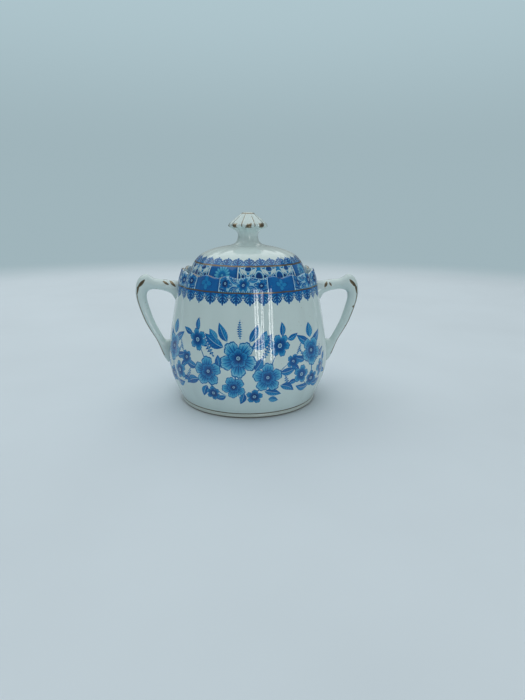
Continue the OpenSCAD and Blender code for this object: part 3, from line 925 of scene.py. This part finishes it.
def bowl_print(tree, place, s):
    """Ink and gilding on the bowl."""
    d = s.print
    radius, turn, z = around(tree, place)
    half_turn = repeated(turn - radians(d.picture_turn), pi)
    shoulder = TO_MM * (s.bowl.rim_height - s.bowl.neck_height)
    below = z.step(shoulder + 0.1, shoulder - 0.1)
    outer = facing(tree, place)

    bouquet, = use(tree, "Bouquet", Across=half_turn * radius, Up=z)
    beside = (abs(half_turn) - radians(d.sprig_turn)) * radius
    sprig, = use(tree, "Sprig", Across=after(bouquet, beside), Up=z)

    step = tau / d.pendants
    lace, = use(tree, "Lace", Across=repeated(turn, step) * radius,
                Down=after(sprig, shoulder - z), Pitch=step * TO_MM * s.bowl.shoulder_radius)

    panel = tau / d.bowl_panels
    mid = repeated(turn - radians(d.bowl_panel_turn) - panel / 2, panel)
    half = radians(d.bowl_panel_width) / 2
    reach = panel / 2 - half
    rise = (turn * s.bowl.flutes).cosine() * (z - shoulder).step(0, 8)
    border, = use(tree, "Scrollwork", Across=mid * radius, Up=after(lace, z - shoulder - rise),
                  Height=BOWL_BORDER_HEIGHT, Reach=radius * reach, Panel=radius * half)
    below_ink = bouquet.most(sprig).most(lace) * below
    ink = (below_ink + border * (1 - below)) * outer

    crest = (turn * s.bowl.flutes).cosine() * TO_MM * s.bowl.scallop
    rim = ((z - crest) - TO_MM * s.bowl.rim_height + 0.1).line(0.3)
    traces = noise(tree, place, 130).step(0.44, 0.6)
    low, high = FOOT_LINES
    foot = ((z - high).line(0.3) * outer).most((z - low).line(0.3))
    lines = (z - shoulder).line(0.34).most(rim * traces * 0.8).most(foot)
    # A darker grey-beige band round the outside of the foot, between the gilt lines.
    beige = z.step(2.5, 2.1) * z.step(-0.2, 0.3) * (radius - 39).step(0, 1)
    return ink, lines, beige * 0.55


LID_LINE_HEIGHT = 82.9  # of the gilt line between the lid's border and its lace
LID_LINE_RADIUS = 32.0
LID_LACE_END = 22.5, 24.0  # the crown is plain within this radius
KNOB_EDGE_DROP = 7.3  # of the cap's edge below the top of the knob


def lid_print(tree, place, s):
    """Ink and gilding on the lid."""
    d = s.print
    radius, turn, z = around(tree, place)
    edge, line = TO_MM * (s.lid.crown_height - s.lid.crown_rise), LID_LINE_HEIGHT
    above = z.step(line - 0.1, line + 0.1)
    step = tau / d.lid_pendants
    lace, = use(tree, "Lace", Across=repeated(turn, step) * radius,
                Down=LID_LINE_RADIUS - radius + (z - line) * 0.35, Pitch=step * LID_LINE_RADIUS)
    lace = lace * radius.step(*LID_LACE_END)

    panel = tau / d.lid_panels
    mid = repeated(turn - radians(d.lid_panel_turn) - panel / 2, panel)
    half = radians(d.lid_panel_width) / 2
    gap = (panel / 2 - half - abs(mid)) * radius
    third = (panel - 2 * half) / 3
    lattice, = use(tree, "Lattice", Across=repeated(mid, third) * radius,
                   Up=after(lace, z - edge - 6.2))
    daisy, = use(tree, "Daisy Panel", Across=gap + radius * half, Up=z - edge - 6.4, Radius=4.9)
    border = paint([(daisy, gap.step(0.3, -0.1)), (0.0, (gap - 0.4).line(0.3, 0.2)),
                    (0.95, (gap + 0.5).line(0.14))], lattice)
    ink = (lace * above + border * (1 - above)) * facing(tree, place, 1.0)
    lines = (z - line).line(0.36).most((z - edge - 0.45).line(0.4) * radius.step(34, 35))
    return ink, lines, 0.0


def knob_print(tree, place, s):
    """Gilding in the valleys of the knob and in broken patches along its edge."""
    radius, turn, z = around(tree, place)
    down = TO_MM * (s.lid.crown_height + s.lid.knob_height) - z
    wave, edge = (turn * s.lid.knob_lobes * 0.5).cosine(), KNOB_EDGE_DROP
    broken = noise(tree, place, 300)
    valley = (abs(wave) * radius).line(down * 0.1 + 0.45) * down.step(edge + 1.1, edge + 0.1)
    valley = valley * radius.step(2.6, 3.4) * (broken + down * 0.03).step(0.42, 0.55)
    patch = (down - edge + (broken - 0.5) * 1.6).line(1.2)
    patch = patch * (abs(wave) * 0.8 + broken * 0.6).step(0.9, 1.0) * radius.step(7, 8)
    ring = (down - 0.75).line(0.3) * radius.step(1.9, 2.5)
    return 0.0, valley.most(patch).most(ring * 0.9), 0.0


def edge_line(s):
    """Points down the outer edge of a handle's face, from the elbow to the lower root."""
    inner, outer, _ = handle_stations(s.handles, s.bowl)
    line = []
    for count in range(10):
        t = 7.5 + count * 0.6
        line.append(catmull(outer, t).lerp(catmull(inner, t), 0.2 - count * 0.008) / MM)
    return line


def handle_print(tree, place, s):
    """Gilding on the handles: a hooked stroke at the elbow that runs down the outer edge as
    a thin line, short strokes by the bowl, and a few spots."""
    x, y, z = (w * TO_MM for w in parts_of(tree, place))
    both, left = abs(x), x * -1
    line = edge_line(s)
    # each counted sideways by its first value, then from, to, thickness and swell
    strokes = [(both, *start, *end, 0.3, 0.0) for start, end in zip(line, line[1:])]
    strokes += [(both, 60.6, 71.8, 64.4, 67.8, 0.9, 1.0),
                (both, 64.0, 68.6, *line[1], 0.5, 0.5),
                (x, 47.0, 70.4, 45.7, 67.6, 0.75, 1.0),
                (x, 48.5, 70.2, 49.6, 68.3, 0.5, 1.0),
                (left, 49.9, 71.0, 46.8, 69.1, 0.6, 1.0),
                (left, 46.2, 71.3, 42.8, 68.1, 0.7, 1.0)]
    gilt = 0.0
    for across, x0, z0, x1, z1, thick, swell in strokes:
        stroke, = use(tree, "Stroke", Across=after(gilt, across), Up=z, From_Across=x0,
                      From_Up=z0, To_Across=x1, To_Up=z1, Thickness=thick, Swell=swell)
        gilt = stroke.most(gilt)
    for across, height, size in ((63.6, 55.6, 0.85), (59.4, 43.6, 0.5)):
        gilt = gilt.most(far(x - across, z - height).step(size, size * 0.6))
    crest, = use(tree, "Stroke", Across=both, Up=z, From_Across=41.5, From_Up=71.2,
                 To_Across=50.5, To_Up=72.0, Thickness=0.28, Swell=0.8)
    return 0.0, (gilt * abs(y).step(0.6, 1.2)).most(crest), 0.0


SPECK = (0.25, 0.2, 0.15)  # the few dark grains in the glaze


def glaze_group(s):
    """Turns ink, gilding and foot band masks into the glaze's colour, metal and roughness."""
    tree, i, out = group_tree("Glaze", {"Place": (0, 0, 0), "Ink": 0.0, "Gilding": 0.0,
                                        "Clay": 0.0}, ("Color", "Metallic", "Roughness", "Height"))
    place, ink, gilt, foot_band = i.values()
    d = s.print

    cloudy = noise(tree, place, 260, 3.0, 0.6)
    grain = noise(tree, place, 1900, 2.0, 0.6)
    wear = noise(tree, place, 420, 4.0, 0.7)
    ink = ink * (0.96 + (cloudy - 0.5) * 0.5 + (grain - 0.5) * 0.3)
    worn = gilt * (wear + (1 - d.wear)).step(0.52, 0.62)

    ramp = tree.nodes.new("ShaderNodeValToRGB")
    shades = ((0.0, d.porcelain), (0.2, d.print_pale), (0.5, d.print_middle),
              (0.82, d.print_dark), (1.0, d.print_deepest))
    for strength, _ in shades[2:]:
        ramp.color_ramp.elements.new(strength)
    for element, (strength, shade) in zip(ramp.color_ramp.elements, shades):
        element.position, element.color = strength, (*shade, 1)
    ramp.color_ramp.interpolation = "LINEAR"
    join(ink, ramp.inputs[0])

    tint = noise(tree, place, 38)
    white = blend(tree, Wire(ramp.outputs[0]), scaled(d.porcelain, 0.93),
                  (tint - 0.45).step(0, 0.3) * (1 - ink * 3).most(0.0) * 0.6)
    speck = noise(tree, place, 700, 0.0).step(0.80, 0.83)
    white = blend(tree, white, SPECK, speck * 0.25)
    white = blend(tree, white, d.foot_band, foot_band * (0.7 + wear * 0.5))
    # Where gilding shows, the colour is the darkened gilding colour: real gold with a painted dark
    # reflection.
    join(blend(tree, white, d.gilding, worn), out["Color"])
    join(worn * 0.95, out["Metallic"])
    join(0.055 + (cloudy - 0.4).step(0, 0.4) * 0.05 + worn * (0.16 + grain * 0.2) + foot_band * 0.3,
         out["Roughness"])
    join(noise(tree, place, 90) + noise(tree, place, 520) * 0.06 + worn * 0.05, out["Height"])


def porcelain(name, decorate, s):
    """The glazed material of one piece, with its own print and gilding."""
    material = bpy.data.materials.new(name)
    material.use_nodes = True
    tree = material.node_tree
    shader = tree.nodes["Principled BSDF"]
    spot = tree.nodes.new("ShaderNodeTexCoord")
    place = Wire(spot.outputs["Object"])

    masks = ("Ink", "Gilding", "Clay")
    own, i, out = group_tree(name + " Decoration", {"Place": (0, 0, 0)}, masks)
    for value, label in zip(decorate(own, i["Place"], s), masks):
        join(value, out[label])

    ink, gilt, foot_band = use(tree, name + " Decoration", Place=place)
    tone, metal, rough, height = use(tree, "Glaze", Place=place, Ink=ink, Gilding=gilt, Clay=foot_band)
    join(tone, shader.inputs["Base Color"])
    join(metal, shader.inputs["Metallic"])
    join(rough, shader.inputs["Roughness"])
    shader.inputs["IOR"].default_value = 1.5
    bump = tree.nodes.new("ShaderNodeBump")
    bump.inputs["Strength"].default_value = 0.35
    bump.inputs["Distance"].default_value = 0.0004
    join(height, bump.inputs["Height"])
    tree.links.new(bump.outputs["Normal"], shader.inputs["Normal"])
    return material


# ---- settings -----------------------------------------------------------------------


class PrintLook(bpy.types.PropertyGroup):
    porcelain: colour("Porcelain", "White glazed body", (0.60, 0.725, 0.72))
    # A darker grey-beige matte band round the outside of the foot, between the two gilt lines.
    foot_band: colour("Foot strip", "Bare strip between the gilt lines at the foot",
                 (0.42, 0.45, 0.40))
    print_pale: colour("Pale print", "Thinnest cobalt", (0.07, 0.41, 0.63))
    print_middle: colour("Middle print", "Flat cobalt", (0.0, 0.19, 0.47))
    print_dark: colour("Dark print", "Solid cobalt", (0.0, 0.085, 0.33))
    print_deepest: colour("Deepest print", "Outlines in cobalt", (0.0, 0.025, 0.11))
    # The gilding colour is far darker than bright gold: it is a painted dark reflection of the
    # room, laid over the real worn gilding.
    gilding: colour("Gilding", "Worn bright gold", (0.18, 0.145, 0.095))
    wear: FloatProperty(name="Wear", description="Share of the gilding that has worn away",
                        default=0.35, min=0, max=1, subtype="FACTOR")
    pendants: IntProperty(name="Pendants", description="Fronds in the bowl's lace", default=36)
    lid_pendants: IntProperty(name="Lid pendants", description="Fronds in the lid's lace",
                              default=30)
    bowl_panels: IntProperty(name="Bowl panels", description="Solid panels round the bowl's band",
                             default=6)
    bowl_panel_width: FloatProperty(name="Bowl panel width", default=22, min=0,
                                    description="Width of a panel in degrees")
    bowl_panel_turn: FloatProperty(name="Bowl panel turn", default=25,
                                   description="Where the panels start, in degrees")
    lid_panels: IntProperty(name="Lid panels", description="Solid panels round the lid's band",
                            default=4)
    lid_panel_width: FloatProperty(name="Lid panel width", default=29, min=0,
                                   description="Width of a panel in degrees")
    lid_panel_turn: FloatProperty(name="Lid panel turn", default=-26,
                                  description="Where the panels start, in degrees")
    picture_turn: FloatProperty(name="Picture turn", default=-9,
                                description="Where the bouquet stands from the front, in degrees")
    sprig_turn: FloatProperty(name="Sprig turn", default=56,
                              description="Angle from the bouquet to the sprigs, in degrees")


class StageLook(bpy.types.PropertyGroup):
    floor: colour("Floor", "Pale floor", (0.68, 0.76, 0.82))
    wall: colour("Wall", "Pale background", (0.35, 0.46, 0.50))
    fade_start: length("Fade start", "Distance where the floor starts to meet the wall", 0.55)
    fade_end: length("Fade end", "Distance where the floor has met the wall", 0.85)
    world: FloatProperty(name="World", description="Even light from all round", default=0.26)
    key: FloatProperty(name="Overhead light", description="Watts of the large soft light",
                       default=13.5, min=0)
    window: FloatProperty(name="Window light", description="Watts of each tall narrow light",
                          default=1.2, min=0)
    lens: FloatProperty(name="Lens", description="Focal length in millimetres", default=27.05)
    camera_place: FloatVectorProperty(name="Camera", description="Place of the camera",
                                      size=3, subtype="TRANSLATION", unit="LENGTH",
                                      default=(-0.00751, -0.3130, 0.11597))
    tilt: FloatProperty(name="Tilt", description="Camera tilt below level, in degrees",
                        default=15.69)
    pan: FloatProperty(name="Pan", description="Camera pan, in degrees", default=-3.0)
    roll: FloatProperty(name="Roll", description="Camera roll, in degrees", default=0.35)


class SugarBowl(bpy.types.PropertyGroup):
    bowl: PointerProperty(type=BowlSizes)
    lid: PointerProperty(type=LidSizes)
    handles: PointerProperty(type=HandleSizes)
    print: PointerProperty(type=PrintLook)
    stage: PointerProperty(type=StageLook)


# ---- operators ----------------------------------------------------------------------


def finish_piece(piece, material, body, node):
    """Give a piece its material and its place in the assembly."""
    piece.data.materials.clear()
    piece.data.materials.append(material)
    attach(piece, body)
    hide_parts(node)


class OBJECT_OT_sugar_bowl_motifs(bpy.types.Operator):
    """Make the shader groups of the cobalt print and the glaze"""

    bl_idname = "object.sugar_bowl_motifs"
    bl_label = "Print and Glaze"

    def execute(self, context):
        for motif in (blossom_group, leaf_group, stroke_group, lace_group, scroll_group,
                      lattice_group, daisy_group, bouquet_group, sprig_group):
            motif()
        glaze_group(context.scene.sugar_bowl)
        return {"FINISHED"}


class OBJECT_OT_sugar_bowl_body(bpy.types.Operator):
    """Turn the fluted and scalloped bowl with its foot, ledge and hollow"""

    bl_idname = "object.sugar_bowl_body"
    bl_label = "Bowl"

    def execute(self, context):
        s = context.scene.sugar_bowl
        piece = rounded(turned("bowl_body", s.bowl.flutes, 8, bowl_rows(s.bowl)))
        finish_piece(piece, porcelain("Bowl Porcelain", bowl_print, s), "bowl_body", "bowl")
        return {"FINISHED"}


class OBJECT_OT_sugar_bowl_handles(bpy.types.Operator):
    """Sweep the two looped handles into the wall of the bowl"""

    bl_idname = "object.sugar_bowl_handles"
    bl_label = "Handles"

    def execute(self, context):
        s = context.scene.sugar_bowl
        right = rounded(swept("handle_right_body", handle_sections(s.handles, s.bowl)), 2)
        material = porcelain("Handle Porcelain", handle_print, s)
        bpy.ops.object.duplicate()
        left = context.object
        left.name = left.data.name = "handle_left_body"
        bpy.ops.object.mode_set(mode="EDIT")
        bpy.ops.mesh.select_all(action="SELECT")
        bpy.ops.transform.rotate(value=pi, orient_axis="Z", center_override=(0, 0, 0))
        bpy.ops.object.mode_set(mode="OBJECT")
        finish_piece(right, material, "bowl_body", "handle_right")
        finish_piece(left, material, "bowl_body", "handle_left")
        return {"FINISHED"}


class OBJECT_OT_sugar_bowl_lid(bpy.types.Operator):
    """Turn the domed lid with its fluted edge and locating collar"""

    bl_idname = "object.sugar_bowl_lid"
    bl_label = "Lid"

    def execute(self, context):
        s = context.scene.sugar_bowl
        piece = rounded(turned("lid_dome", s.bowl.flutes, 8, lid_rows(s.lid)))
        finish_piece(piece, porcelain("Lid Porcelain", lid_print, s), "lid_body", "lid")
        return {"FINISHED"}


class OBJECT_OT_sugar_bowl_knob(bpy.types.Operator):
    """Turn the lobed knob on its waist"""

    bl_idname = "object.sugar_bowl_knob"
    bl_label = "Knob"

    def execute(self, context):
        s = context.scene.sugar_bowl
        piece = rounded(turned("lid_finial", s.lid.knob_lobes, 8, knob_rows(s.lid)), 2)
        finish_piece(piece, porcelain("Knob Porcelain", knob_print, s), "lid_body", "lid_knob")
        return {"FINISHED"}


def soft_light(name, place, size, watts, tint=(1, 1, 1)):
    """An area light that looks at the middle of the object."""
    middle = Vector((0, 0, 0.05))
    aim = middle - Vector(place)
    bpy.ops.object.light_add(type="AREA", location=place,
                             rotation=aim.to_track_quat("-Z", "Y").to_euler())
    lamp = bpy.context.object
    lamp.name = lamp.data.name = name
    lamp.data.shape, lamp.data.size, lamp.data.size_y = "RECTANGLE", *size
    lamp.data.energy, lamp.data.color = watts, tint


class SCENE_OT_sugar_bowl_stage(bpy.types.Operator):
    """Make the pale floor, the even world, the soft lights and the camera"""

    bl_idname = "scene.sugar_bowl_stage"
    bl_label = "Stage"

    def floor(self, look):
        deselect()
        bpy.ops.mesh.primitive_plane_add(size=12)
        floor = bpy.context.object
        floor.name = floor.data.name = "floor"
        material = bpy.data.materials.new("Floor")
        material.use_nodes = True
        tree = material.node_tree
        shader, leave = tree.nodes["Principled BSDF"], tree.nodes["Material Output"]
        spot = tree.nodes.new("ShaderNodeTexCoord")
        place = Wire(spot.outputs["Object"])
        x, y, _ = parts_of(tree, place)
        away = far(x, y).step(look.fade_start, look.fade_end)
        cloth = noise(tree, place, 9, 3.0)
        tone = blend(tree, look.floor, scaled(look.floor, 0.9), (cloth - 0.35) * 1.2)
        join(tone, shader.inputs["Base Color"])
        shader.inputs["Roughness"].default_value = 0.9
        shader.inputs["Specular IOR Level"].default_value = 0.1
        glow = tree.nodes.new("ShaderNodeEmission")
        glow.inputs["Color"].default_value = (*look.wall, 1)
        show_camera(tree, shader, glow, away, leave)
        floor.data.materials.append(material)

    def world(self, scene, look):
        world = bpy.data.worlds.new("Even light")
        world.use_nodes = True
        scene.world = world
        tree = world.node_tree
        light, leave = tree.nodes["Background"], tree.nodes["World Output"]
        light.inputs["Color"].default_value = (0.90, 0.99, 1, 1)
        light.inputs["Strength"].default_value = look.world
        seen = tree.nodes.new("ShaderNodeBackground")
        spot = tree.nodes.new("ShaderNodeTexCoord")
        height = parts_of(tree, Wire(spot.outputs["Generated"]))[2]
        # The backdrop the camera sees is painted lighter toward the top: painted light on the
        # wall. The light on the object stays even.
        tone = blend(tree, look.wall, scaled(look.wall, 1.22), height.step(0.08, 0.34))
        join(tone, seen.inputs["Color"])
        show_camera(tree, light, seen, 1, leave)

    def camera(self, scene, look):
        turn = (Matrix.Rotation(radians(look.pan), 4, "Z")
                @ Matrix.Rotation(radians(90 - look.tilt), 4, "X")
                @ Matrix.Rotation(radians(look.roll), 4, "Z"))
        bpy.ops.object.camera_add(location=look.camera_place, rotation=turn.to_euler())
        camera = bpy.context.object
        camera.name = camera.data.name = "camera"
        camera.data.lens, camera.data.sensor_width = look.lens, 36
        camera.data.clip_start, camera.data.clip_end = 0.01, 50
        scene.camera = camera

    def execute(self, context):
        look = context.scene.sugar_bowl.stage
        self.floor(look)
        self.world(context.scene, look)
        soft_light("overhead", (-0.12, 0.28, 1.1), (2.0, 1.8), look.key, (0.97, 1, 1))
        away, height = 1.2, 0.24
        for name, aside in (("window_left", radians(19)), ("window_right", radians(27))):
            place = (away * sin(aside), -away * cos(aside), height)
            soft_light(name, place, (0.09, 0.5), look.window)
        self.camera(context.scene, look)
        context.scene.view_settings.view_transform = "Standard"
        return {"FINISHED"}


class VIEW3D_PT_sugar_bowl(bpy.types.Panel):
    """Sizes, colours and building steps of the covered sugar bowl"""

    bl_label = "Sugar Bowl"
    bl_idname = "VIEW3D_PT_sugar_bowl"
    bl_space_type = "VIEW_3D"
    bl_region_type = "UI"
    bl_category = "Sugar Bowl"

    def draw(self, context):
        s = context.scene.sugar_bowl
        for step in STEPS:
            self.layout.operator(step.bl_idname)
        for name in ("bowl", "lid", "handles", "print", "stage"):
            box = self.layout.box()
            box.label(text=name.capitalize())
            group = getattr(s, name)
            for entry in group.bl_rna.properties:
                if entry.identifier not in ("rna_type", "name"):
                    box.prop(group, entry.identifier)


STEPS = (OBJECT_OT_sugar_bowl_motifs, OBJECT_OT_sugar_bowl_body, OBJECT_OT_sugar_bowl_handles,
         OBJECT_OT_sugar_bowl_lid, OBJECT_OT_sugar_bowl_knob, SCENE_OT_sugar_bowl_stage)
CLASSES = (BowlSizes, LidSizes, HandleSizes, PrintLook, StageLook, SugarBowl, *STEPS,
           VIEW3D_PT_sugar_bowl)


def register():
    for cls in CLASSES:
        bpy.utils.register_class(cls)
    bpy.types.Scene.sugar_bowl = PointerProperty(type=SugarBowl)


def unregister():
    del bpy.types.Scene.sugar_bowl
    for cls in reversed(CLASSES):
        bpy.utils.unregister_class(cls)


def main():
    register()
    bpy.ops.object.sugar_bowl_motifs()
    bpy.ops.object.sugar_bowl_body()
    bpy.ops.object.sugar_bowl_handles()
    bpy.ops.object.sugar_bowl_lid()
    bpy.ops.object.sugar_bowl_knob()
    bpy.ops.scene.sugar_bowl_stage()


if __name__ == "__main__":
    main()
